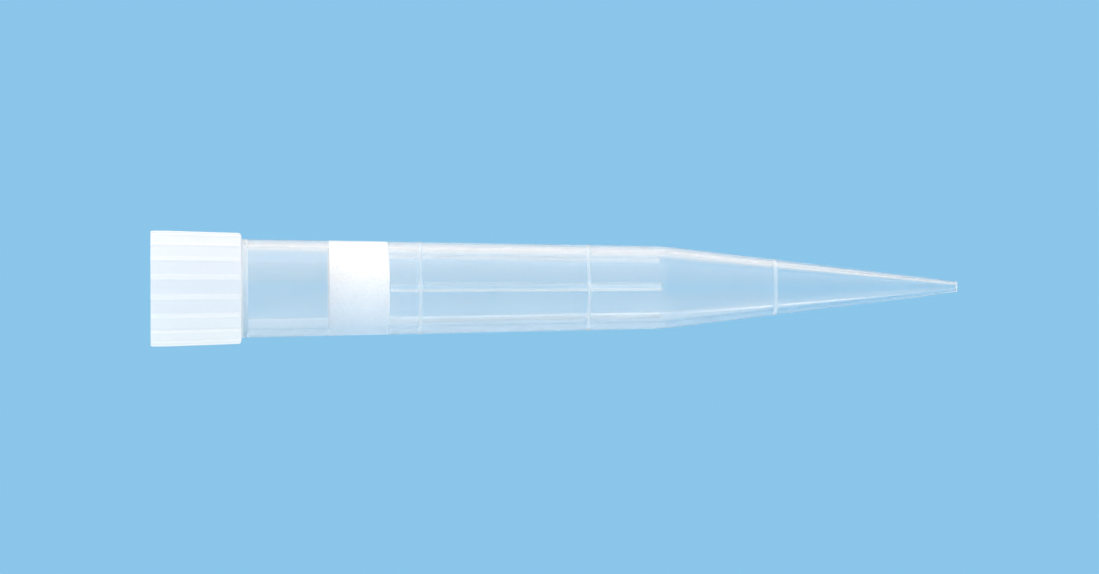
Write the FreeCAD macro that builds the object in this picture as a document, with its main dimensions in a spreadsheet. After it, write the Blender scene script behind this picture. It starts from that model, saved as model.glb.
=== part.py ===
import FreeCAD, Part
import math
import os

import Sketcher
from FreeCAD import Placement, Rotation, Vector

# A filter pipette tip of the 1000 microlitre size: a one-piece moulded body and the porous
# plug pressed into its bore. Millimetres. +Z runs along the axis from the mouth to the
# point; the origin is the centre of the mouth rim, on which the tip stands. The front is -Y.

DIMENSIONS = (
    ("tip_length", 73.0, "mouth rim to the end of the point"),
    ("seal_diameter", 8.0, "cylindrical land in the socket that grips the nozzle"),
    ("seal_start", 5.25, "mouth rim to the start of the land"),
    ("seal_length", 3.4, "length of the land, which ends at a ledge"),
    ("lead_in_length", 1.5, "steeper first part of the socket"),
    ("lead_in_flare", 0.15, "how much wider the lead-in ends than the land, on the radius"),
    ("mouth_flare", 0.35, "how much wider the mouth is than the land, on the radius"),
    ("mouth_wall", 0.87, "collar's wall at the mouth, at a ridge"),
    ("shoulder_wall", 1.0, "collar's wall at the shoulder, at a ridge"),
    ("collar_length", 8.2, "mouth rim to the shoulder"),
    ("rim_band_length", 1.5, "part of the collar by the mouth that has no taper"),
    ("rim_rounding", 0.12, "radius on the two edges of the mouth rim"),
    ("shoulder_chamfer", 0.25, "on the collar's shoulder edge"),
    ("shoulder_fillet", 0.15, "where the tube leaves the shoulder"),
    ("ridge_count", 18, "ridges round the collar"),
    ("ridge_width", 0.42, "width of a ridge between two flats"),
    ("flat_depth", 0.12, "depth of each flat below the ridges, at its middle"),
    ("neck_wall", 0.46, "tube's wall beside the land, at the shoulder"),
    ("tube_wall", 0.65, "tube's wall past the ledge"),
    ("tube_narrowing", 0.725, "how much the tube's radius shrinks from shoulder to cone"),
    ("cone_length", 26.6, "start of the cone to the point"),
    ("junction_radius", 20.0, "soft bend between tube and cone"),
    ("orifice_diameter", 0.5, "hole in the point"),
    ("point_wall", 0.25, "wall at the point"),
    ("low_ring_height", 16.6, "point to the 100 microlitre ring"),
    ("middle_ring_height", 33.55, "point to the 500 microlitre ring"),
    ("high_ring_height", 48.75, "point to the 1000 microlitre ring"),
    ("ring_width", 0.34, "width of a graduation ring at its root"),
    ("ring_crest_width", 0.1, "width of a graduation ring at its crest"),
    ("ring_relief", 0.04, "how far a graduation ring stands out"),
    ("ring_root", 0.1, "how far a graduation ring reaches into the wall"),
    ("filter_depth", 16.05, "mouth rim to the filter"),
    ("filter_length", 5.55, "length of the filter"),
    ("filter_chamfer", 0.12, "on the filter's edges"),
    ("filter_clearance", 0.0, "between the filter's side and the bore: a press fit"),
    ("support_count", 3, "inner ribs that stop the filter"),
    ("support_width", 0.82, "width of an inner rib"),
    ("support_relief", 0.3, "how far an inner rib stands into the bore"),
    ("support_root", 0.2, "how far an inner rib reaches into the wall"),
    ("support_setback", 0.3, "end of the inner ribs to the start of the cone"),
)

EDGE_TOLERANCE = 1e-4
FRONT = -90
CUT_OVERRUN = "1"

# Heights above the mouth rim, and radii, as expressions on the sheet.
SEAL_END = "(dims.seal_start + dims.seal_length)"
FILTER_END = "(dims.filter_depth + dims.filter_length)"
CONE_START = "(dims.tip_length - dims.cone_length)"
SEAL_RADIUS = "dims.seal_diameter / 2"
LEAD_IN_RADIUS = f"({SEAL_RADIUS} + dims.lead_in_flare)"
MOUTH_BORE_RADIUS = f"({SEAL_RADIUS} + dims.mouth_flare)"
MOUTH_RADIUS = f"({MOUTH_BORE_RADIUS} + dims.mouth_wall)"
SHOULDER_RADIUS = f"({SEAL_RADIUS} + dims.shoulder_wall)"
NECK_RADIUS = f"({SEAL_RADIUS} + dims.neck_wall)"
TUBE_END_RADIUS = f"({NECK_RADIUS} - dims.tube_narrowing)"
ORIFICE_RADIUS = "dims.orifice_diameter / 2"
POINT_RADIUS = f"({ORIFICE_RADIUS} + dims.point_wall)"
TUBE_SLOPE = f"(dims.tube_narrowing / ({CONE_START} - dims.collar_length))"
CONE_SLOPE = f"(({TUBE_END_RADIUS} - {POINT_RADIUS}) / dims.cone_length)"

document = FreeCAD.newDocument("pipette_tip")
dims = document.addObject("Spreadsheet::Sheet", "dims")


def fill_sheet():
    """One row a dimension: its name, its value with the same name as alias, its meaning."""
    for row, (alias, size, meaning) in enumerate(DIMENSIONS, start=1):
        dims.set(f"A{row}", alias)
        dims.set(f"B{row}", str(size))
        dims.setAlias(f"B{row}", alias)
        dims.set(f"C{row}", meaning)
    document.recompute()


def size_of(expression):
    """The number that an expression on the sheet gives."""
    return float(dims.evalExpression(expression))


def tube_radius(height):
    return f"({NECK_RADIUS} - ({height} - dims.collar_length) * {TUBE_SLOPE})"


def bore_radius(height):
    return f"({tube_radius(height)} - dims.tube_wall)"


def cone_radius(height):
    return f"({POINT_RADIUS} + (dims.tip_length - {height}) * {CONE_SLOPE})"


def origin_feature(body, role):
    """One of the body's own origin planes or axes."""
    return next(part for part in body.Origin.OriginFeatures if part.Role == role)


def side_sketch(body, name, turn=0):
    """A sketch in a half plane through the axis, turned about it from +X by some degrees."""
    sketch = body.newObject("Sketcher::SketchObject", name)
    sketch.AttachmentSupport = (origin_feature(body, "XZ_Plane"), [""])
    sketch.MapMode = "FlatFace"
    sketch.AttachmentOffset = Placement(Vector(), Rotation(Vector(0, 1, 0), turn))
    return sketch


def pin(sketch, geometry, point, radius, height):
    """Hold a point of the sketch at a radius and a height, both expressions."""
    for kind, axis, expression in (("DistanceX", -2, radius), ("DistanceY", -1, height)):
        if expression == "0":
            rule = Sketcher.Constraint("PointOnObject", geometry, point, axis)
            sketch.addConstraint(rule)
            continue
        rule = Sketcher.Constraint(kind, geometry, point, size_of(expression))
        number = sketch.addConstraint(rule)
        sketch.renameConstraint(number, f"{kind}{geometry}")
        sketch.setExpression(f"Constraints.{kind}{geometry}", expression)


def bend_shape(before, corner, after, radius):
    """An arc that rounds a corner: its end on each of the corner's sides, and its centre."""
    to_before = (before - corner).normalize()
    to_after = (after - corner).normalize()
    half_angle = to_before.getAngle(to_after) / 2
    reach = radius / math.tan(half_angle)
    centre = corner + (to_before + to_after).normalize() * (radius / math.sin(half_angle))
    return corner + to_before * reach, corner + to_after * reach, centre


def add_bend(sketch, sides, shape, corner):
    """The arc between two sides, tangent to both, whose lines would meet at the corner."""
    radius, height, bend = corner
    *ends, centre = shape
    angles = [math.atan2(end.y - centre.y, end.x - centre.x) for end in ends]
    left_turn = (ends[0] - centre).cross(ends[1] - centre).z > 0
    circle = Part.Circle(centre, Vector(0, 0, 1), size_of(bend))
    span = angles if left_turn else reversed(angles)
    arc = sketch.addGeometry(Part.ArcOfCircle(circle, *span), False)
    first, second = (1, 2) if left_turn else (2, 1)
    sketch.addConstraint(Sketcher.Constraint("Tangent", sides[0], 2, arc, first))
    sketch.addConstraint(Sketcher.Constraint("Tangent", arc, second, sides[1], 1))
    number = sketch.addConstraint(Sketcher.Constraint("Radius", arc, size_of(bend)))
    sketch.renameConstraint(number, f"Bend{arc}")
    sketch.setExpression(f"Constraints.Bend{arc}", bend)
    place = Vector(size_of(radius), size_of(height), 0)
    point = sketch.addGeometry(Part.Point(place), True)
    for side in sides:
        sketch.addConstraint(Sketcher.Constraint("PointOnObject", point, 1, side))
    pin(sketch, point, 1, radius, height)


def draw_outline(sketch, corners):
    """A closed outline of straight sides. A corner is its radius and its height, as
    expressions, and where it is rounded, the radius of its bend as a third."""
    count = len(corners)
    places = [Vector(size_of(corner[0]), size_of(corner[1]), 0) for corner in corners]
    starts = list(places)
    ends = places[1:] + places[:1]
    bends = {}
    for index, corner in enumerate(corners):
        if len(corner) == 3:
            following = places[(index + 1) % count]
            shape = bend_shape(places[index - 1], places[index], following, size_of(corner[2]))
            ends[index - 1] = shape[0]
            starts[index] = shape[1]
            bends[index] = shape
    sides = [
        sketch.addGeometry(Part.LineSegment(start, end), False)
        for start, end in zip(starts, ends)
    ]
    for index, corner in enumerate(corners):
        meeting = (sides[index - 1], sides[index])
        if index in bends:
            add_bend(sketch, meeting, bends[index], corner)
        else:
            sketch.addConstraint(Sketcher.Constraint("Coincident", meeting[0], 2, meeting[1], 1))
            pin(sketch, meeting[1], 1, *corner)


def turned(body, kind, name, sketch):
    """A full turn of the sketch about the axis: a Revolution adds, a Groove cuts."""
    feature = body.newObject(f"PartDesign::{kind}", name)
    feature.Profile = sketch
    feature.ReferenceAxis = (sketch, ["V_Axis"])
    feature.Angle = 360
    body.Tip = feature
    document.recompute()
    return feature


def straight(body, kind, name, sketch, width):
    """The sketch carried half the width to each side: a Pad adds, a Pocket cuts."""
    feature = body.newObject(f"PartDesign::{kind}", name)
    feature.Profile = sketch
    feature.SideType = "Symmetric"
    feature.setExpression("Length", width)
    body.Tip = feature
    document.recompute()
    return feature


def repeated(body, name, feature, count):
    """The feature repeated evenly round the axis."""
    pattern = body.newObject("PartDesign::PolarPattern", name)
    pattern.Originals = [feature]
    pattern.Axis = (origin_feature(body, "Z_Axis"), [""])
    pattern.Angle = 360
    pattern.setExpression("Occurrences", count)
    body.Tip = pattern
    document.recompute()
    return pattern


def edge_at(feature, radius, height):
    """The name of the round edge with this radius, about the axis at this height."""
    wanted_radius = size_of(radius)
    wanted_height = size_of(height)
    for number, edge in enumerate(feature.Shape.Edges, start=1):
        if not isinstance(edge.Curve, Part.Circle):
            continue
        radius_gap = abs(edge.Curve.Radius - wanted_radius)
        height_gap = abs(edge.Curve.Center.z - wanted_height)
        if max(radius_gap, height_gap) < EDGE_TOLERANCE:
            return f"Edge{number}"
    raise ValueError(f"no edge of radius {wanted_radius} at height {wanted_height}")


def softened(body, kind, name, base, edges, property_name, size):
    """A Fillet or Chamfer of one size on some round edges, each given by radius and height."""
    feature = body.newObject(f"PartDesign::{kind}", name)
    feature.Base = (base, [edge_at(base, radius, height) for radius, height in edges])
    feature.setExpression(property_name, size)
    body.Tip = feature
    document.recompute()
    return feature


def new_body(name):
    body = document.addObject("PartDesign::Body", name)
    body.Label = name
    body.Placement = Placement()
    return body


def turn_outside(body):
    """The solid outer form: collar, tapered tube and cone."""
    sketch = side_sketch(body, "outside_outline")
    draw_outline(sketch, (
        ("0", "0"),
        (MOUTH_RADIUS, "0"),
        (MOUTH_RADIUS, "dims.rim_band_length"),
        (SHOULDER_RADIUS, "dims.collar_length"),
        (NECK_RADIUS, "dims.collar_length"),
        (TUBE_END_RADIUS, CONE_START, "dims.junction_radius"),
        (POINT_RADIUS, "dims.tip_length"),
        ("0", "dims.tip_length"),
    ))
    return turned(body, "Revolution", "outside", sketch)


def cut_bore(body):
    """The nozzle socket, its ledge, the tube's bore and the cone's bore."""
    sketch = side_sketch(body, "bore_outline")
    draw_outline(sketch, (
        ("0", "0"),
        (MOUTH_BORE_RADIUS, "0"),
        (LEAD_IN_RADIUS, "dims.lead_in_length"),
        (SEAL_RADIUS, "dims.seal_start"),
        (SEAL_RADIUS, SEAL_END),
        (bore_radius(SEAL_END), SEAL_END),
        (bore_radius(CONE_START), CONE_START, "dims.junction_radius"),
        (ORIFICE_RADIUS, "dims.tip_length"),
        ("0", "dims.tip_length"),
    ))
    return turned(body, "Groove", "bore", sketch)


def soften_edges(body, base):
    """The collar's edges: its shoulder, the neck beside it and the mouth rim."""
    shoulder_edge = ((SHOULDER_RADIUS, "dims.collar_length"),)
    base = softened(body, "Chamfer", "shoulder_edge", base, shoulder_edge,
                    "Size", "dims.shoulder_chamfer")
    neck_edge = ((NECK_RADIUS, "dims.collar_length"),)
    base = softened(body, "Fillet", "neck_edge", base, neck_edge,
                    "Radius", "dims.shoulder_fillet")
    rim_edges = ((MOUTH_RADIUS, "0"), (MOUTH_BORE_RADIUS, "0"))
    return softened(body, "Fillet", "rim_edges", base, rim_edges,
                    "Radius", "dims.rim_rounding")


def cut_flats(body):
    """Flats round the collar, one of them in front, with a narrow ridge between each two."""
    sketch = side_sketch(body, "flat_outline", FRONT)
    draw_outline(sketch, (
        (f"{MOUTH_RADIUS} - dims.flat_depth", f"-{CUT_OVERRUN}"),
        (f"{MOUTH_RADIUS} - dims.flat_depth", "dims.rim_band_length"),
        (f"{SHOULDER_RADIUS} - dims.flat_depth", "dims.collar_length"),
        (f"{SHOULDER_RADIUS} - dims.flat_depth", f"dims.collar_length + {CUT_OVERRUN}"),
        (f"{MOUTH_RADIUS} + {CUT_OVERRUN}", f"dims.collar_length + {CUT_OVERRUN}"),
        (f"{MOUTH_RADIUS} + {CUT_OVERRUN}", f"-{CUT_OVERRUN}"),
    ))
    width = f"2 * {MOUTH_RADIUS} * sin(180 / dims.ridge_count) - dims.ridge_width"
    flat = straight(body, "Pocket", "collar_flat", sketch, width)
    return repeated(body, "collar_flats", flat, "dims.ridge_count")


def add_rings(body):
    """Three low graduation rings outside: one on the cone and two on the tube."""
    sketch = side_sketch(body, "ring_outlines")
    rings = (
        ("dims.low_ring_height", cone_radius),
        ("dims.middle_ring_height", tube_radius),
        ("dims.high_ring_height", tube_radius),
    )
    for distance, radius_at in rings:
        middle = f"(dims.tip_length - {distance})"
        root_low = f"({middle} - dims.ring_width / 2)"
        root_high = f"({middle} + dims.ring_width / 2)"
        crest_low = f"({middle} - dims.ring_crest_width / 2)"
        crest_high = f"({middle} + dims.ring_crest_width / 2)"
        draw_outline(sketch, (
            (f"{radius_at(root_low)} - dims.ring_root", root_low),
            (radius_at(root_low), root_low),
            (f"{radius_at(crest_low)} + dims.ring_relief", crest_low),
            (f"{radius_at(crest_high)} + dims.ring_relief", crest_high),
            (radius_at(root_high), root_high),
            (f"{radius_at(root_high)} - dims.ring_root", root_high),
        ))
    return turned(body, "Revolution", "graduation_rings", sketch)


def add_supports(body):
    """Inner ribs along the tube's bore, one in front. The filter stops at their low ends."""
    rib_end = f"({CONE_START} - dims.support_setback)"
    sketch = side_sketch(body, "support_outline", FRONT)
    draw_outline(sketch, (
        (f"{bore_radius(FILTER_END)} - dims.support_relief", FILTER_END),
        (f"{bore_radius(FILTER_END)} + dims.support_root", FILTER_END),
        (f"{bore_radius(rib_end)} + dims.support_root", rib_end),
        (f"{bore_radius(rib_end)} - dims.support_relief", rib_end),
    ))
    rib = straight(body, "Pad", "filter_support", sketch, "dims.support_width")
    return repeated(body, "filter_supports", rib, "dims.support_count")


def make_tip_body():
    body = new_body("tip_body")
    turn_outside(body)
    bored = cut_bore(body)
    soften_edges(body, bored)
    cut_flats(body)
    add_rings(body)
    add_supports(body)
    return body


def make_filter_plug():
    """A porous plug with the bore's own taper, seated on the inner ribs."""
    body = new_body("filter_plug")
    side_start = "(dims.filter_depth + dims.filter_chamfer)"
    side_end = f"({FILTER_END} - dims.filter_chamfer)"
    start_radius = f"{bore_radius(side_start)} - dims.filter_clearance"
    end_radius = f"{bore_radius(side_end)} - dims.filter_clearance"
    sketch = side_sketch(body, "filter_outline")
    draw_outline(sketch, (
        ("0", "dims.filter_depth"),
        (f"{start_radius} - dims.filter_chamfer", "dims.filter_depth"),
        (start_radius, side_start),
        (end_radius, side_end),
        (f"{end_radius} - dims.filter_chamfer", FILTER_END),
        ("0", FILTER_END),
    ))
    turned(body, "Revolution", "filter", sketch)
    return body


def check(bodies):
    """Stop if an object failed, or a body is empty, invalid or not one solid."""
    for item in document.Objects:
        if {"Invalid", "Error"} & set(item.State):
            raise RuntimeError(f"{item.Label} failed: {item.State}")
    for body in bodies:
        if body.Shape.isNull() or not body.Shape.isValid():
            raise RuntimeError(f"{body.Label} has no valid shape")
        if len(body.Shape.Solids) != 1:
            raise RuntimeError(f"{body.Label} has {len(body.Shape.Solids)} solids")


fill_sheet()
bodies = (make_tip_body(), make_filter_plug())
document.recompute()
check(bodies)
os.makedirs("parts", exist_ok=True)
for body in bodies:
    body.Shape.exportStep(f"parts/{body.Label}.step")
    print(body.Label, "volume", round(body.Shape.Volume, 2), "mm3")
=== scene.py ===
import math

import bmesh
import bpy
from mathutils import Matrix, Vector


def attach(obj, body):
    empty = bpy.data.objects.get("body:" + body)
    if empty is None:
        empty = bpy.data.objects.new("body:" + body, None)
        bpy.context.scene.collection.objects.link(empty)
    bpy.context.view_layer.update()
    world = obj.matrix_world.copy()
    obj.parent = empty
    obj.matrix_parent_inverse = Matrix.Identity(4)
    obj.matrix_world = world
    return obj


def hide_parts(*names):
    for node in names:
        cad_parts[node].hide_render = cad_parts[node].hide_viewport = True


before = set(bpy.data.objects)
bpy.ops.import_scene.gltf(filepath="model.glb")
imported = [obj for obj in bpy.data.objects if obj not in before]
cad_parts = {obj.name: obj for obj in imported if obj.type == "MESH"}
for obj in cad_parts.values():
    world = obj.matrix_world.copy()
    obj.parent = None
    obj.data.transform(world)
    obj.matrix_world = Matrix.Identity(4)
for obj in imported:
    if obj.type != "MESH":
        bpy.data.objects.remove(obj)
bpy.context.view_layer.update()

# A filter pipette tip of the 1000 microlitre size, standing on its mouth with its axis on +Z.
# The tip's own sizes are in millimetres, with heights above the mouth rim, and MM turns them
# into metres. The camera, the softboxes and the floor are placed in metres.
MM = 0.001

# Heights.
TIP_LENGTH = 73.0
LEAD_IN_END = 1.5
RIM_BAND_END = 1.5
SEAL_START = 5.25
SEAL_END = 8.65
SHOULDER = 8.2
FILTER_START = 16.05
FILTER_END = 21.6
SUPPORT_END = 46.1
CONE_START = 46.4
RING_HEIGHTS = (24.25, 39.45, 56.4)

# Radii, and the tube's wall.
MOUTH_RADIUS = 5.22
SHOULDER_RADIUS = 5.0
NECK_RADIUS = 4.46
TUBE_END_RADIUS = 3.735
POINT_RADIUS = 0.5
MOUTH_BORE = 4.35
LEAD_IN_BORE = 4.15
SEAL_BORE = 4.0
ORIFICE_RADIUS = 0.25
TUBE_WALL = 0.65

# How far each rounding reaches from its corner. The two bends are where the tube runs into
# the cone.
RIM_ROUNDING = 0.12
SHOULDER_CHAMFER = 0.25
NECK_FILLET = 0.15
LEDGE_ROUNDING = 0.05
POINT_ROUNDING = 0.08
OUTER_BEND = 1.02
INNER_BEND = 0.87

# The graduation rings.
RING_WIDTH = 0.34
RING_CREST = 0.1
RING_RELIEF = 0.04

# The full turn is cut into steps, a multiple of both counts, so that the collar's ridges and
# the inner ribs meet its seams. Their half widths are in these steps.
TURN_STEPS = 360
STEP = 2 * math.pi / TURN_STEPS
FRONT = -math.pi / 2
RIDGE_COUNT = 18
RIDGE_HALF_STEPS = 2.5
FLAT_DEPTH = 0.12
COLLAR_CORE_RADIUS = NECK_RADIUS + 0.2
SUPPORT_COUNT = 3
SUPPORT_HALF_STEPS = 7
SUPPORT_RELIEF = 0.3
SUPPORT_CREST_SHARE = 0.42
SUPPORT_EDGE = 0.04

# The filter is pressed into the bore by the squeeze, on the radius. The ends of its outline
# lie AXIS_GAP off the axis.
FILTER_SQUEEZE = 0.01
FILTER_CROWN = 0.2
FILTER_EDGE = 0.05
AXIS_GAP = 0.00001

# Edges all round the tip: at even spaces from the neck up, and a hold past each ring and each
# small rounding, which keeps their soft shading off the long faces beside them.
BAND_START = 10.01
BAND_STEP = 3.0
HOLD = 0.04

# Points nearer than MERGE_DISTANCE, in metres, are one. An edge turns sharp at SHARP_ANGLE.
MERGE_DISTANCE = 1e-7
SHARP_ANGLE = math.radians(35)

# The tip's skins, by slot, and how near in millimetres a face counts as part of a feature.
(NECK_SLOT, TUBE_SLOT, CONE_SLOT, POINT_SLOT, RING_SLOT,
 EDGE_SLOT, FROST_SLOT, CREST_SLOT, CREST_END_SLOT) = range(9)
TOUCH = 0.01
FILLET_TOUCH = 0.005
RIB_TOUCH = 0.02
ETCHED_LEDGE = 0.3

# Plastics. A clearness is the share of the light that goes through and is not scattered.
POLYPROPYLENE_IOR = 1.49
NECK_CLEARNESS = 0.885
TUBE_CLEARNESS = 0.902
CONE_CLEARNESS = 0.925
POINT_CLEARNESS = 0.95
EDGE_CLEARNESS = 0.35
CREST_CLEARNESS = 0.62
CREST_END_CLEARNESS = 0.4
RING_CLEARNESS = 0.7
RING_BACK_CLEARNESS = 0.92
COLLAR_CLEARNESS = 0.15
MILKY_WHITE = (0.99, 0.99, 0.99, 1.0)
# The matt plastic's bluish tint is painted light: it stands in for the blue surroundings' light
# that passes through it.
ETCHED_BACKDROP_TINT = (0.82, 0.94, 1.0, 1.0)
CLOUD_GREY = (0.8, 0.85, 0.9, 1.0)
# The collar's flats are painted a darker, bluer white as painted shade, and its ridges pure white
# as a painted highlight.
FLAT_SHADED_WHITE = (0.92, 0.94, 0.965, 1.0)
RIDGE_HIGHLIGHT_WHITE = (1.0, 1.0, 1.0, 1.0)
BEAD_WHITE = (0.99, 0.99, 0.99, 1.0)
# The grey in the filter's pores is painted shade.
PORE_SHADE_GREY = (0.9, 0.92, 0.94, 1.0)
BEAD_SIZE = 0.16

# The surroundings. Scattered light has one colour on the lit side, one in the middle and one
# on the far side, which starts at FAR_SIDE of the way across.
BACKDROP_BLUE = (0.258, 0.565, 0.823, 1.0)
FAR_SIDE = 0.85
OPEN_LEVEL = 2.1
OPEN_LIGHT = ((1.08, 0.89, 0.73, 1), (0.03, 0.16, 0.33, 1), (0.72, 0.66, 0.57, 1))
COVERED_LEVEL = 3.4
COVERED_LIGHT = ((1.0, 0.85, 0.75, 1), (0.97, 0.93, 0.9, 1), (0.0, 0.22, 0.43, 1))
FLOOR_RADIUS = 0.45
FLOOR_BLUE = (0.2, 0.42, 0.6, 1.0)
FLOOR_LIGHT = (1.0, 1.15, 1.25, 1.0)
SHADOW_START = 0.03
SHADOW_END = 0.3
SHADOW_SHARE = 0.5

# The softboxes stand round the axis. The cone leans back, so it mirrors what is above
# CARD_SPLIT, and the tube mirrors what is below.
CARD_DISTANCE = 0.5
CARD_SPLIT = 0.13
CARD_TOP = 0.4
WHOLE_CARD = (0.0, CARD_TOP)
TUBE_CARD = (0.0, CARD_SPLIT)
CONE_CARD = (CARD_SPLIT, CARD_TOP)
NO_FADE = 0.001
SOFT_WHITE = (0.88, 0.94, 1.0, 1.0)
WARM_WHITE = (1.0, 0.82, 0.66, 1.0)
SIDE_WHITE = (1.0, 0.94, 0.88, 1.0)
REAR_BLUE = (0.68, 0.84, 1.0, 1.0)
LOW_BLUE = (0.5, 0.7, 0.88, 1.0)

# The camera. The tip lies on its side in the view: the view's right is +Z, and its up is
# close to -X.
CAMERA_TURN = math.radians(1.5)
CAMERA_ROLL = math.radians(-0.135)
CAMERA_NOD = math.radians(0.0047)
CAMERA_AIM = math.radians(2.715)
CAMERA_DISTANCE = 0.760
LENS = 275.6
SENSOR_WIDTH = 36
VIEW_RIGHT = Vector((0, 0, 1))
VIEW_OUT = Vector((math.sin(CAMERA_TURN), -math.cos(CAMERA_TURN), 0))
VIEW_UP = VIEW_OUT.cross(VIEW_RIGHT)


def tube_radius(height):
    """The tube's outer radius between the shoulder and the cone."""
    share = (height - SHOULDER) / (CONE_START - SHOULDER)
    return NECK_RADIUS + share * (TUBE_END_RADIUS - NECK_RADIUS)


def cone_radius(height):
    """The cone's outer radius."""
    share = (height - CONE_START) / (TIP_LENGTH - CONE_START)
    return TUBE_END_RADIUS + share * (POINT_RADIUS - TUBE_END_RADIUS)


def outer_radius(height):
    """The outer radius of the tube or the cone."""
    return cone_radius(height) if height > CONE_START else tube_radius(height)


def bore_radius(height):
    """The tube's bore between the ledge and the cone."""
    return tube_radius(height) - TUBE_WALL


def collar_radius(height):
    """The collar's outer radius at a ridge."""
    share = max(0.0, height - RIM_BAND_END) / (SHOULDER - RIM_BAND_END)
    return MOUTH_RADIUS + share * (SHOULDER_RADIUS - MOUTH_RADIUS)


def ring_corners(height, radius_at):
    """The four corners of a graduation ring's outline."""
    root, crest = RING_WIDTH / 2, RING_CREST / 2
    return [
        (radius_at(height - root), height - root, 0, 0),
        (radius_at(height - crest) + RING_RELIEF, height - crest, 0, 0),
        (radius_at(height + crest) + RING_RELIEF, height + crest, 0, 0),
        (radius_at(height + root), height + root, 0, 0),
    ]


def wall_corners():
    """The closed outline of the tip's wall. Each corner is a radius, a height, and the reach
    and segments of its rounding."""
    low_ring, middle_ring, high_ring = RING_HEIGHTS
    outside = [
        (MOUTH_BORE, 0, RIM_ROUNDING, 4),
        (MOUTH_RADIUS, 0, RIM_ROUNDING, 4),
        (MOUTH_RADIUS, RIM_BAND_END, 0, 0),
        (SHOULDER_RADIUS, SHOULDER, SHOULDER_CHAMFER, 2),
        (NECK_RADIUS, SHOULDER, NECK_FILLET, 4),
        *ring_corners(low_ring, tube_radius),
        *ring_corners(middle_ring, tube_radius),
        (TUBE_END_RADIUS, CONE_START, OUTER_BEND, 8),
        *ring_corners(high_ring, cone_radius),
        (POINT_RADIUS, TIP_LENGTH, POINT_ROUNDING, 4),
    ]
    inside = [
        (ORIFICE_RADIUS, TIP_LENGTH, POINT_ROUNDING, 4),
        (bore_radius(CONE_START), CONE_START, INNER_BEND, 8),
        (bore_radius(SEAL_END), SEAL_END, LEDGE_ROUNDING, 2),
        (SEAL_BORE, SEAL_END, LEDGE_ROUNDING, 2),
        (SEAL_BORE, SEAL_START, 0, 0),
        (LEAD_IN_BORE, LEAD_IN_END, 0, 0),
    ]
    return outside + inside


def edge_heights():
    """Where the tip's wall has an edge all round that its outline doesn't give."""
    heights = [SHOULDER, FILTER_END, SUPPORT_END, *RING_HEIGHTS]
    heights += [
        RIM_ROUNDING + HOLD,
        SHOULDER - SHOULDER_CHAMFER - HOLD,
        SHOULDER + NECK_FILLET + HOLD,
        SEAL_END + LEDGE_ROUNDING + HOLD,
        TIP_LENGTH - POINT_ROUNDING - HOLD,
    ]
    for ring in RING_HEIGHTS:
        heights.append(ring - RING_WIDTH / 2 - HOLD)
        heights.append(ring + RING_WIDTH / 2 + HOLD)
    bands = math.ceil((TIP_LENGTH - BAND_START) / BAND_STEP)
    heights += [BAND_START + number * BAND_STEP for number in range(bands)]
    return heights


def outline(bm, corners):
    """A closed wire through the corners in the half plane of +X, with the roundings cut."""
    points = [bm.verts.new((radius * MM, 0, height * MM)) for radius, height, *_ in corners]
    for start, end in zip(points, points[1:] + points[:1]):
        bm.edges.new((start, end))
    for point, (_, _, reach, segments) in zip(points, corners):
        if segments:
            bmesh.ops.bevel(
                bm, geom=[point], offset=reach * MM, offset_type="OFFSET",
                segments=segments, profile=0.5, affect="VERTICES", material=-1,
            )


def sliced(bm, height):
    """Cuts everything at a height, so that there is an edge all round there."""
    bmesh.ops.bisect_plane(
        bm, geom=bm.verts[:] + bm.edges[:] + bm.faces[:], dist=MERGE_DISTANCE,
        plane_co=(0, 0, height * MM), plane_no=(0, 0, 1),
    )


def turned(bm):
    """Turns the wire once round the axis into a closed skin."""
    bmesh.ops.spin(
        bm, geom=bm.verts[:] + bm.edges[:], cent=(0, 0, 0), axis=(0, 0, 1), dvec=(0, 0, 0),
        angle=2 * math.pi, steps=TURN_STEPS, use_merge=True, use_normal_flip=False,
        use_duplicate=False,
    )
    bmesh.ops.remove_doubles(bm, verts=bm.verts[:], dist=MERGE_DISTANCE)
    bmesh.ops.recalc_face_normals(bm, faces=bm.faces[:])


def angle_off(place, middle):
    """How far a place lies round the axis from a direction, between minus and plus pi."""
    turn = math.atan2(place.y, place.x) - middle
    return (turn + math.pi) % (2 * math.pi) - math.pi


def press_flats(bm):
    """Presses the collar's flats in, one of them in front. The ridges between them stay, and so
    does the socket, which lies inside the collar's core."""
    pitch = 2 * math.pi / RIDGE_COUNT
    flat_half = pitch / 2 - RIDGE_HALF_STEPS * STEP
    for vert in bm.verts:
        height = vert.co.z / MM
        radius = vert.co.xy.length / MM
        if height > SHOULDER + TOUCH or radius < COLLAR_CORE_RADIUS:
            continue
        off = angle_off(vert.co, FRONT)
        off -= round(off / pitch) * pitch
        if abs(off) > flat_half:
            continue
        limit = (collar_radius(height) - FLAT_DEPTH) / math.cos(off)
        if radius > limit:
            vert.co.xy *= limit / radius


def support_patch(bm, middle):
    """The faces of the bore that one inner rib stands on."""
    patch = []
    for face in bm.faces:
        place = face.calc_center_median()
        height = place.z / MM
        if not FILTER_END < height < SUPPORT_END:
            continue
        if place.xy.length / MM > bore_radius(height) + TUBE_WALL / 2:
            continue
        if abs(angle_off(place, middle)) < SUPPORT_HALF_STEPS * STEP:
            patch.append(face)
    return patch


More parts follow.
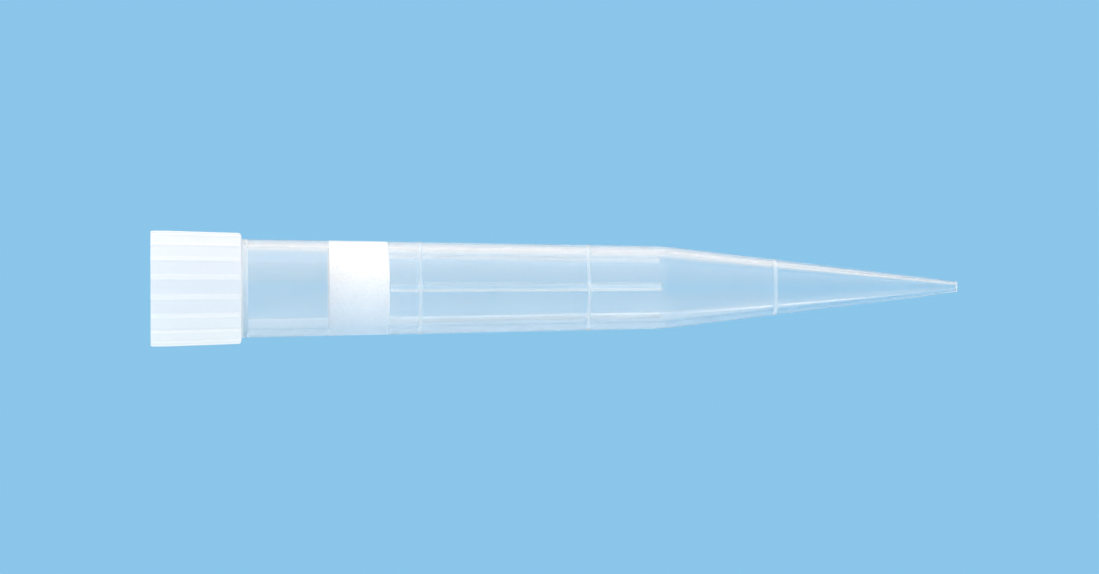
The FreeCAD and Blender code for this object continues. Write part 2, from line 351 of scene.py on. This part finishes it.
def raise_support(bm, middle):
    """Raises one inner rib from the bore, with sloped sides and soft edges."""
    patch = support_patch(bm, middle)
    raised = bmesh.ops.extrude_face_region(bm, geom=patch)["geom"]
    bmesh.ops.delete(bm, geom=patch, context="FACES_ONLY")
    inward = Vector((-math.cos(middle), -math.sin(middle), 0)) * SUPPORT_RELIEF * MM
    verts = [part for part in raised if isinstance(part, bmesh.types.BMVert)]
    bmesh.ops.translate(bm, verts=verts, vec=inward)
    face_on = Matrix.Rotation(-middle, 4, "Z")
    bmesh.ops.scale(bm, verts=verts, vec=(1, SUPPORT_CREST_SHARE, 1), space=face_on)
    crest = {part for part in raised if isinstance(part, bmesh.types.BMFace)}
    rim = [
        part for part in raised
        if isinstance(part, bmesh.types.BMEdge)
        and sum(face in crest for face in part.link_faces) == 1
    ]
    bmesh.ops.bevel(
        bm, geom=rim, offset=SUPPORT_EDGE * MM, offset_type="OFFSET", segments=3,
        profile=0.5, affect="EDGES", material=-1,
    )


def raise_supports(bm):
    """Raises the inner ribs that stop the filter, the first of them in front."""
    for number in range(SUPPORT_COUNT):
        raise_support(bm, FRONT + number * 2 * math.pi / SUPPORT_COUNT)


def finished(bm, name, materials):
    """The mesh as an object in place: faces smooth, edges sharp past an angle."""
    bmesh.ops.remove_doubles(bm, verts=bm.verts[:], dist=MERGE_DISTANCE)
    for face in bm.faces:
        face.smooth = True
    for edge in bm.edges:
        if len(edge.link_faces) == 2:
            edge.smooth = edge.calc_face_angle() < SHARP_ANGLE
    mesh = bpy.data.meshes.new(name)
    bm.to_mesh(mesh)
    bm.free()
    for material in materials:
        mesh.materials.append(material)
    piece = bpy.data.objects.new(name, mesh)
    bpy.context.scene.collection.objects.link(piece)
    return piece


def skin_of(face):
    """The slot of a face of the tip. The clear plastic is split into four slots at the low
    ring, at the cone and at the high ring, where a change of clearness doesn't show."""
    low_ring, middle_ring, high_ring = RING_HEIGHTS
    place = face.calc_center_median()
    height = place.z / MM
    radius = place.xy.length / MM
    if height < SHOULDER + TOUCH or height > TIP_LENGTH - POINT_ROUNDING:
        return FROST_SLOT
    on_ring = any(abs(height - ring) < RING_WIDTH / 2 for ring in RING_HEIGHTS)
    if on_ring and radius > outer_radius(height) - TUBE_WALL / 2:
        return RING_SLOT
    in_fillet = height < SHOULDER + NECK_FILLET and radius > tube_radius(height) + FILLET_TOUCH
    on_ledge = height < SEAL_END + ETCHED_LEDGE and radius < SEAL_BORE + TOUCH
    if in_fillet or on_ledge:
        return EDGE_SLOT
    beside_rib = FILTER_END - TOUCH < height < SUPPORT_END + TOUCH
    if beside_rib and radius < bore_radius(height) - RIB_TOUCH:
        if radius > bore_radius(height) - SUPPORT_RELIEF + RIB_TOUCH:
            return EDGE_SLOT
        return CREST_SLOT if height < middle_ring else CREST_END_SLOT
    if height > high_ring:
        return POINT_SLOT
    if height > CONE_START:
        return CONE_SLOT
    return TUBE_SLOT if height > low_ring else NECK_SLOT


def make_tip(skins):
    """The moulded tip: collar, tube, inner ribs, rings and cone in one skin."""
    bm = bmesh.new()
    outline(bm, wall_corners())
    for height in edge_heights():
        sliced(bm, height)
    turned(bm)
    press_flats(bm)
    raise_supports(bm)
    for face in bm.faces:
        face.material_index = skin_of(face)
    return finished(bm, "moulded_tip", skins)


def make_filter(porous):
    """The filter: a porous plug that fills the bore, flat below and gently crowned above."""
    bm = bmesh.new()
    low_rim = bore_radius(FILTER_START) + FILTER_SQUEEZE
    high_rim = bore_radius(FILTER_END) + FILTER_SQUEEZE
    corners = [
        (AXIS_GAP, FILTER_START, 0, 0),
        (low_rim, FILTER_START, FILTER_EDGE, 3),
        (high_rim, FILTER_END - FILTER_CROWN, FILTER_EDGE, 3),
    ]
    for share in (0.8, 0.6, 0.4, 0.2):
        corners.append((high_rim * share, FILTER_END - FILTER_CROWN * share ** 2, 0, 0))
    corners.append((AXIS_GAP, FILTER_END, 0, 0))
    outline(bm, corners)
    turned(bm)
    return finished(bm, "filter_disc", (porous,))


def node(tree, kind, inputs=None, **settings):
    """A new node with its settings made. Each input is given by name or number, as a value or
    as the socket to link to it."""
    made = tree.nodes.new("ShaderNode" + kind)
    for setting, value in settings.items():
        setattr(made, setting, value)
    fill_inputs(tree, made, inputs or {})
    return made


def fill_inputs(tree, made, inputs):
    """Sets a node's inputs to values, or links them where a socket is given."""
    for place, value in inputs.items():
        if isinstance(value, bpy.types.NodeSocket):
            tree.links.new(value, made.inputs[place])
        else:
            made.inputs[place].default_value = value


def placed(tree, group, inputs):
    """A group placed in a tree with its values."""
    made = tree.nodes.new("ShaderNodeGroup")
    made.node_tree = group
    fill_inputs(tree, made, inputs)
    return made


def new_material(name):
    """A material with an empty tree."""
    material = bpy.data.materials.new(name)
    material.use_nodes = True
    material.node_tree.nodes.clear()
    return material


def new_group(name, takes, gives):
    """An empty shader node group with its sockets, and its two end nodes."""
    group = bpy.data.node_groups.new(name, "ShaderNodeTree")
    for socket, kind in takes.items():
        group.interface.new_socket(socket, in_out="INPUT", socket_type="NodeSocket" + kind)
    for socket, kind in gives.items():
        group.interface.new_socket(socket, in_out="OUTPUT", socket_type="NodeSocket" + kind)
    return group, group.nodes.new("NodeGroupInput"), group.nodes.new("NodeGroupOutput")


def finish_with(material, shader):
    """Joins the material's shader to its output."""
    node(material.node_tree, "OutputMaterial", {"Surface": shader.outputs[0]})
    return material


def eased(tree, value, start, end, first=0.0, last=1.0):
    """Goes softly from the first share at the start to the last share at the end."""
    return node(tree, "MapRange", {
        "Value": value,
        "From Min": start,
        "From Max": end,
        "To Min": first,
        "To Max": last,
    }, interpolation_type="SMOOTHSTEP").outputs["Result"]


def product(tree, first, second):
    """Two values multiplied."""
    return node(tree, "Math", {0: first, 1: second}, operation="MULTIPLY").outputs[0]


def over_half(tree, value):
    """One where a value is over a half, and nought elsewhere."""
    return node(tree, "Math", {0: value, 1: 0.5}, operation="GREATER_THAN").outputs[0]


def in_millimetres(tree, stretch=(1, 1, 1)):
    """The object's own coordinates in millimetres, stretched for a pattern."""
    place = node(tree, "TexCoord").outputs["Object"]
    scale = Vector(stretch) / MM
    return node(tree, "Mapping", {"Vector": place, "Scale": scale}).outputs["Vector"]


def raised_grain(tree, height, depth, strength=1.0):
    """The normal of a grain whose full height is depth millimetres."""
    inputs = {"Height": height, "Distance": depth * MM, "Strength": strength}
    return node(tree, "Bump", inputs).outputs["Normal"]


def make_mould_skin():
    """What moulding leaves: cloudy patches, and faint lines along the draw."""
    takes = {"Colour": "Color", "Cloud Size": "Float", "Cloud": "Float",
             "Roughness": "Float", "Roughness Spread": "Float"}
    gives = {"Colour": "Color", "Roughness": "Float", "Height": "Float"}
    group, start, end = new_group("mould_skin", takes, gives)
    given = start.outputs
    finer = node(group, "Math", {0: 1.0, 1: given["Cloud Size"]}, operation="DIVIDE")
    clouds = node(group, "TexNoise", {
        "Vector": in_millimetres(group),
        "Scale": finer.outputs[0],
        "Detail": 3.0,
    }).outputs["Fac"]
    lines = node(group, "TexNoise", {
        "Vector": in_millimetres(group, (3.0, 3.0, 0.06)),
        "Scale": 1.0,
        "Detail": 2.0,
    }).outputs["Fac"]
    both = node(group, "Math", {0: clouds, 1: lines}, operation="ADD").outputs[0]
    spread = node(group, "MapRange", {"Value": both, "From Min": 0.7, "From Max": 1.3})
    spread = spread.outputs["Result"]
    colour = node(group, "Mix", {
        "Factor": product(group, spread, given["Cloud"]),
        "A": given["Colour"],
        "B": CLOUD_GREY,
    }, data_type="RGBA").outputs["Result"]
    roughness = node(group, "Math", {
        0: spread,
        1: given["Roughness Spread"],
        2: given["Roughness"],
    }, operation="MULTIPLY_ADD").outputs[0]
    for place, value in (("Colour", colour), ("Roughness", roughness), ("Height", lines)):
        group.links.new(value, end.inputs[place])
    return group


def make_fine_frost():
    """The fine grain of a spark-eroded mould, as a height."""
    group, start, end = new_group("fine_frost", {"Grain Size": "Float"}, {"Height": "Float"})
    finer = node(group, "Math", {0: 1.0, 1: start.outputs["Grain Size"]}, operation="DIVIDE")
    grain = node(group, "TexNoise", {
        "Vector": in_millimetres(group),
        "Scale": finer.outputs[0],
        "Detail": 2.0,
        "Roughness": 0.6,
    })
    group.links.new(grain.outputs["Fac"], end.inputs["Height"])
    return group


def clear_polypropylene(mould_skin, part, clearness):
    """Natural polypropylene: clear, with a milky haze that lessens towards the point."""
    material = new_material("clear_" + part)
    tree = material.node_tree
    skin = placed(tree, mould_skin, {
        "Colour": MILKY_WHITE,
        "Cloud Size": 1.4,
        "Cloud": 0.12,
        "Roughness": 0.03,
        "Roughness Spread": 0.03,
    })
    shader = node(tree, "BsdfPrincipled", {
        "Base Color": skin.outputs["Colour"],
        "Roughness": skin.outputs["Roughness"],
        "IOR": POLYPROPYLENE_IOR,
        "Transmission Weight": clearness,
        "Normal": raised_grain(tree, skin.outputs["Height"], 0.00025),
    })
    return finish_with(material, shader)


def satin_polypropylene(mould_skin, fine_frost):
    """The rings, which the mould leaves duller than the tube. The dullness lies on the outside,
    so the plastic behind a ring stays clear."""
    material = new_material("satin_polypropylene")
    tree = material.node_tree
    skin = placed(tree, mould_skin, {
        "Colour": MILKY_WHITE,
        "Cloud Size": 0.8,
        "Cloud": 0.1,
        "Roughness": 0.15,
        "Roughness Spread": 0.1,
    })
    frost = placed(tree, fine_frost, {"Grain Size": 0.06})
    outside = node(tree, "BsdfPrincipled", {
        "Base Color": skin.outputs["Colour"],
        "Roughness": skin.outputs["Roughness"],
        "IOR": POLYPROPYLENE_IOR,
        "Transmission Weight": RING_CLEARNESS,
        "Normal": raised_grain(tree, frost.outputs["Height"], 0.004),
    })
    inside = node(tree, "BsdfPrincipled", {
        "Base Color": MILKY_WHITE,
        "Roughness": 0.04,
        "IOR": POLYPROPYLENE_IOR,
        "Transmission Weight": RING_BACK_CLEARNESS,
    })
    behind = node(tree, "NewGeometry").outputs["Backfacing"]
    shader = node(tree, "MixShader", {0: behind, 1: outside.outputs[0], 2: inside.outputs[0]})
    return finish_with(material, shader)


def etched_polypropylene(mould_skin, fine_frost, part, clearness):
    """What the mould leaves matt on the tube: its fillet at the collar, the ledge, and the
    inner ribs."""
    material = new_material("etched_" + part)
    tree = material.node_tree
    # The bluish tint of this skin is painted light from the blue surroundings, not a colour of
    # the plastic.
    skin = placed(tree, mould_skin, {
        "Colour": ETCHED_BACKDROP_TINT,
        "Cloud Size": 0.6,
        "Cloud": 0.05,
        "Roughness": 0.35,
        "Roughness Spread": 0.1,
    })
    frost = placed(tree, fine_frost, {"Grain Size": 0.07})
    shader = node(tree, "BsdfPrincipled", {
        "Base Color": skin.outputs["Colour"],
        "Roughness": skin.outputs["Roughness"],
        "IOR": POLYPROPYLENE_IOR,
        "Transmission Weight": clearness,
        "Normal": raised_grain(tree, frost.outputs["Height"], 0.004),
    })
    return finish_with(material, shader)


def on_ridges(tree):
    """One on the collar's ridges and nought on its flats, by the turn from the front flat. It
    places the painted highlight on the ridges.
    """
    place = node(tree, "TexCoord").outputs["Object"]
    split = node(tree, "SeparateXYZ", {0: place})
    turn = node(tree, "Math", {0: split.outputs["X"], 1: split.outputs["Y"]}, operation="ARCTAN2")
    pitch = 2 * math.pi / RIDGE_COUNT
    count = node(tree, "Math", {0: turn.outputs[0], 1: pitch}, operation="DIVIDE").outputs[0]
    from_flat = node(tree, "Math", {0: count, 1: 0.5}, operation="PINGPONG").outputs[0]
    ridge_edge = 0.5 - RIDGE_HALF_STEPS * STEP / pitch
    return eased(tree, from_flat, ridge_edge - 0.04, ridge_edge + 0.02)


def frosted_polypropylene(mould_skin, fine_frost):
    """The collar: thick and frosted all over, with a painted highlight along its ridges and
    painted shade on its flats.
    """
    material = new_material("frosted_polypropylene")
    tree = material.node_tree
    # Painted highlight on the ridges, painted shade on the flats.
    ridge_highlight = node(tree, "Mix", {
        "Factor": on_ridges(tree),
        "A": FLAT_SHADED_WHITE,
        "B": RIDGE_HIGHLIGHT_WHITE,
    }, data_type="RGBA")
    skin = placed(tree, mould_skin, {
        "Colour": ridge_highlight.outputs["Result"],
        "Cloud Size": 0.5,
        "Cloud": 0.16,
        "Roughness": 0.38,
        "Roughness Spread": 0.15,
    })
    frost = placed(tree, fine_frost, {"Grain Size": 0.08})
    shader = node(tree, "BsdfPrincipled", {
        "Base Color": skin.outputs["Colour"],
        "Roughness": skin.outputs["Roughness"],
        "IOR": POLYPROPYLENE_IOR,
        "Transmission Weight": COLLAR_CLEARNESS,
        "Normal": raised_grain(tree, frost.outputs["Height"], 0.006),
    })
    return finish_with(material, shader)


def porous_polyethylene():
    """The filter: small white beads sintered together, with pores between them that are painted
    grey as shade.
    """
    material = new_material("porous_polyethylene")
    tree = material.node_tree
    beads = node(tree, "TexVoronoi", {
        "Vector": in_millimetres(tree),
        "Scale": 1.0 / BEAD_SIZE,
        "Randomness": 0.9,
    }).outputs["Distance"]
    pore = eased(tree, beads, 0.35, 0.85)
    # The pores are painted grey: painted shade between the beads.
    colour = node(tree, "Mix", {
        "Factor": pore,
        "A": BEAD_WHITE,
        "B": PORE_SHADE_GREY,
    }, data_type="RGBA")
    crown = node(tree, "Math", {0: 1.0, 1: beads}, operation="SUBTRACT").outputs[0]
    dull = node(tree, "MapRange", {"Value": pore, "To Min": 0.7, "To Max": 1.0})
    shader = node(tree, "BsdfPrincipled", {
        "Base Color": colour.outputs["Result"],
        "Roughness": dull.outputs["Result"],
        "Normal": raised_grain(tree, crown, BEAD_SIZE / 2, 0.3),
    })
    return finish_with(material, shader)


def make_skins():
    """The tip's materials, in the order of its slots."""
    mould_skin = make_mould_skin()
    fine_frost = make_fine_frost()
    skins = {
        NECK_SLOT: clear_polypropylene(mould_skin, "neck", NECK_CLEARNESS),
        TUBE_SLOT: clear_polypropylene(mould_skin, "tube", TUBE_CLEARNESS),
        CONE_SLOT: clear_polypropylene(mould_skin, "cone", CONE_CLEARNESS),
        POINT_SLOT: clear_polypropylene(mould_skin, "point", POINT_CLEARNESS),
        RING_SLOT: satin_polypropylene(mould_skin, fine_frost),
        EDGE_SLOT: etched_polypropylene(mould_skin, fine_frost, "edges", EDGE_CLEARNESS),
        FROST_SLOT: frosted_polypropylene(mould_skin, fine_frost),
        CREST_SLOT: etched_polypropylene(mould_skin, fine_frost, "crests", CREST_CLEARNESS),
        CREST_END_SLOT: etched_polypropylene(
            mould_skin, fine_frost, "crest_ends", CREST_END_CLEARNESS,
        ),
    }
    return [skins[slot] for slot in sorted(skins)]


def across_ramp(tree, place, colours):
    """Three colours from the lit side, over the middle, to the far side."""
    made = node(tree, "ValToRGB", {0: place})
    elements = made.color_ramp.elements
    elements.new(0.5)
    elements[2].position = FAR_SIDE
    for element, colour in zip(elements, colours):
        element.color = colour
    return made.outputs["Color"]


def surroundings():
    """The pale blue surroundings, and a soft light on everything that scatters: white from the
    lit side, and tinted by the surroundings from the others. What lies under a clear wall gets
    more, because the wall keeps some back."""
    world = bpy.data.worlds.new("surroundings")
    bpy.context.scene.world = world
    world.use_nodes = True
    world.cycles.sampling_method = "NONE"
    tree = world.node_tree
    tree.nodes.clear()
    path = node(tree, "LightPath")
    scattered = over_half(tree, path.outputs["Diffuse Depth"])
    covered = over_half(tree, path.outputs["Transmission Depth"])
    direction = node(tree, "TexCoord").outputs["Generated"]
    across = node(tree, "SeparateXYZ", {0: direction}).outputs["X"]
    share = node(tree, "MapRange", {"Value": across, "From Min": -1.0}).outputs["Result"]
    on_open = node(tree, "Background", {
        "Color": across_ramp(tree, share, OPEN_LIGHT),
        "Strength": OPEN_LEVEL,
    })
    on_covered = node(tree, "Background", {
        "Color": across_ramp(tree, share, COVERED_LIGHT),
        "Strength": COVERED_LEVEL,
    })
    light = node(tree, "MixShader", {0: covered, 1: on_open.outputs[0], 2: on_covered.outputs[0]})
    seen = node(tree, "Background", {"Color": BACKDROP_BLUE})
    mix = node(tree, "MixShader", {0: scattered, 1: seen.outputs[0], 2: light.outputs[0]})
    node(tree, "OutputWorld", {"Surface": mix.outputs[0]})


def floor_material():
    """The pale floor: it looks like the surroundings apart from the object's soft shadow, and
    gives scattered light back as a plain pale floor does."""
    material = new_material("pale_floor")
    material.cycles.emission_sampling = "NONE"
    tree = material.node_tree
    place = node(tree, "TexCoord").outputs["Object"]
    reach = node(tree, "VectorMath", {0: place}, operation="LENGTH").outputs["Value"]
    near = eased(tree, reach, SHADOW_START, SHADOW_END, SHADOW_SHARE, 0.0)
    plain = node(tree, "Emission", {"Color": BACKDROP_BLUE})
    shaded = node(tree, "BsdfDiffuse", {"Color": FLOOR_BLUE})
    seen = node(tree, "MixShader", {0: near, 1: plain.outputs[0], 2: shaded.outputs[0]})
    given = node(tree, "Emission", {"Color": FLOOR_LIGHT})
    scattered = over_half(tree, node(tree, "LightPath").outputs["Diffuse Depth"])
    mix = node(tree, "MixShader", {0: scattered, 1: seen.outputs[0], 2: given.outputs[0]})
    return finish_with(material, mix)


def make_floor():
    """The round floor that the tip stands on."""
    bm = bmesh.new()
    bmesh.ops.create_circle(bm, cap_ends=True, segments=96, radius=FLOOR_RADIUS)
    finished(bm, "floor", (floor_material(),))


def card_share(tree, half, middle, fades, lift, dimming, through, inside):
    """How much of a softbox shows at each place on its card and to each ray. It fades at its
    upright edges, comes up softly over the heights of its lift, and sinks to a share over
    those of its dimming. These heights are above the floor, and the card's middle is its own
    origin. It shows to mirrored rays only, so that it isn't a bright panel behind the clear
    tip, unless it may be seen through the tip. One for the inside shows only where the
    plastic's inner faces mirror it. Its back never shows, and scattered light passes it,
    because the surroundings give that light."""
    place = node(tree, "SeparateXYZ", {0: node(tree, "TexCoord").outputs["Object"]})
    across = place.outputs["X"]
    up = place.outputs["Y"]
    path = node(tree, "LightPath").outputs
    start_fade, end_fade = fades
    share = product(
        tree,
        eased(tree, across, -half, -half * (1 - 2 * start_fade)),
        eased(tree, across, half, half * (1 - 2 * end_fade)),
    )
    if lift:
        low_end, high_end = lift
        share = product(tree, share, eased(tree, up, low_end - middle, high_end - middle))
    if dimming:
        low_end, high_end, top_share = dimming
        sink = eased(tree, up, low_end - middle, high_end - middle, 1.0, top_share)
        share = product(tree, share, sink)
    if not through:
        share = product(tree, share, over_half(tree, path["Glossy Depth"]))
    if inside:
        share = product(tree, share, over_half(tree, path["Transmission Depth"]))
    scattered = over_half(tree, path["Diffuse Depth"])
    behind = node(tree, "NewGeometry").outputs["Backfacing"]
    hidden = node(tree, "Math", {0: scattered, 1: behind}, operation="MAXIMUM").outputs[0]
    shown = node(tree, "Math", {0: share, 1: hidden}, operation="SUBTRACT", use_clamp=True)
    return shown.outputs[0]


def card_material(name, colour, strengths, half, **showing):
    """A softbox's glow, from one strength at its first edge to another at its last."""
    material = new_material(name)
    material.cycles.emission_sampling = "NONE"
    tree = material.node_tree
    place = node(tree, "SeparateXYZ", {0: node(tree, "TexCoord").outputs["Object"]})
    strength = node(tree, "MapRange", {
        "Value": place.outputs["X"],
        "From Min": -half,
        "From Max": half,
        "To Min": strengths[0],
        "To Max": strengths[1],
    }).outputs["Result"]
    glow = node(tree, "Emission", {"Color": colour, "Strength": strength})
    clear = node(tree, "BsdfTransparent")
    shown = card_share(tree, half, **showing)
    mix = node(tree, "MixShader", {0: shown, 1: clear.outputs[0], 2: glow.outputs[0]})
    return finish_with(material, mix)


def softbox(name, angles, strengths, heights, colour, fades,
            lift=None, dimming=None, through=False, inside=False):
    """A flat card that faces the axis, between two heights. It fills the directions between two
    angles, in degrees from the camera towards the view's up, and has a strength and a fade
    for each of them."""
    start, end = angles
    low, high = heights
    turn = math.radians((start + end) / 2)
    half = CARD_DISTANCE * math.tan(math.radians(end - start) / 2)
    middle = (low + high) / 2
    material = card_material(
        name, colour, strengths, half, middle=middle, fades=fades, lift=lift, dimming=dimming,
        through=through, inside=inside,
    )
    bm = bmesh.new()
    bmesh.ops.create_grid(bm, x_segments=1, y_segments=1, size=0.5)
    bmesh.ops.scale(bm, verts=bm.verts[:], vec=(2 * half, high - low, 1))
    card = finished(bm, name, (material,))
    toward = VIEW_OUT * math.cos(turn) + VIEW_UP * math.sin(turn)
    side = VIEW_UP * math.cos(turn) - VIEW_OUT * math.sin(turn)
    axes = Matrix((side, side.cross(toward), -toward)).transposed()
    place = toward * CARD_DISTANCE + VIEW_RIGHT * middle
    card.matrix_world = Matrix.Translation(place) @ axes.to_4x4()
    card.visible_camera = False
    card.visible_shadow = False


def make_upper_softboxes():
    """The softboxes from the front to straight above, which light the upper edge's band."""
    softbox(
        "front_softbox", angles=(16, 72), strengths=(0.7, 2.0), heights=WHOLE_CARD,
        colour=WARM_WHITE, fades=(0.08, NO_FADE), dimming=(0.05, 0.13, 0.6),
    )
    softbox(
        "side_softbox", angles=(72, 128), strengths=(2.1, 1.3), heights=TUBE_CARD,
        colour=SIDE_WHITE, fades=(NO_FADE, 0.05), dimming=(0.05, 0.13, 0.5),
    )
    softbox(
        "side_cone_softbox", angles=(72, 128), strengths=(1.3, 1.1), heights=CONE_CARD,
        colour=SIDE_WHITE, fades=(NO_FADE, 0.05), dimming=(0.15, 0.205, 0.0),
    )


def make_rear_softboxes():
    """The softboxes above and behind, which show through the tip as well."""
    softbox(
        "rear_softbox", angles=(128, 168), strengths=(0.95, 0.9), heights=TUBE_CARD,
        colour=SOFT_WHITE, fades=(NO_FADE, 0.4), through=True,
    )
    softbox(
        "rear_cone_softbox", angles=(128, 168), strengths=(0.74, 0.7), heights=CONE_CARD,
        colour=REAR_BLUE, fades=(NO_FADE, 0.4), through=True,
    )


def make_low_softboxes():
    """The softboxes below: narrow ones that draw the low line on the inner faces, and weak
    ones that brighten the lower edge."""
    softbox(
        "low_softbox", angles=(-92, -86), strengths=(3.2, 3.2), heights=TUBE_CARD,
        colour=SOFT_WHITE, fades=(0.1, 0.1), inside=True,
    )
    softbox(
        "low_cone_softbox", angles=(-107, -89), strengths=(6.0, 6.0), heights=CONE_CARD,
        colour=WARM_WHITE, fades=(0.4, 0.4), lift=(0.138, 0.153), dimming=(0.165, 0.175, 0.0),
        inside=True,
    )
    softbox(
        "low_front_softbox", angles=(-72, -12), strengths=(1.0, 0.5), heights=(CARD_SPLIT, 0.213),
        colour=WARM_WHITE, fades=(0.2, 0.3),
    )
    softbox(
        "low_rear_softbox", angles=(-174, -128), strengths=(1.0, 1.0), heights=(0.0, 0.22),
        colour=LOW_BLUE, fades=(0.1, 0.1), dimming=(0.065, 0.135, 0.0), through=True,
    )


def make_camera():
    """The camera: level with the mouth, and turned on its side."""
    data = bpy.data.cameras.new("camera")
    data.lens = LENS
    data.sensor_width = SENSOR_WIDTH
    data.clip_start = 0.05
    data.clip_end = 20
    camera = bpy.data.objects.new("camera", data)
    bpy.context.scene.collection.objects.link(camera)
    back = VIEW_OUT * math.cos(CAMERA_AIM) - VIEW_RIGHT * math.sin(CAMERA_AIM)
    right = VIEW_RIGHT * math.cos(CAMERA_AIM) + VIEW_OUT * math.sin(CAMERA_AIM)
    up = back.cross(right)
    nod = Matrix.Rotation(CAMERA_NOD, 3, right)
    turn = Matrix.Rotation(CAMERA_ROLL, 3, back) @ nod
    axes = Matrix((turn @ right, turn @ up, turn @ back)).transposed()
    camera.matrix_world = Matrix.Translation(VIEW_OUT * CAMERA_DISTANCE) @ axes.to_4x4()
    bpy.context.scene.camera = camera


tip = make_tip(make_skins())
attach(tip, "root")
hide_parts("tip_body")
plug = make_filter(porous_polyethylene())
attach(plug, "root")
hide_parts("filter_plug")
make_floor()
surroundings()
make_upper_softboxes()
make_rear_softboxes()
make_low_softboxes()
make_camera()
bpy.context.scene.view_settings.view_transform = "Standard"
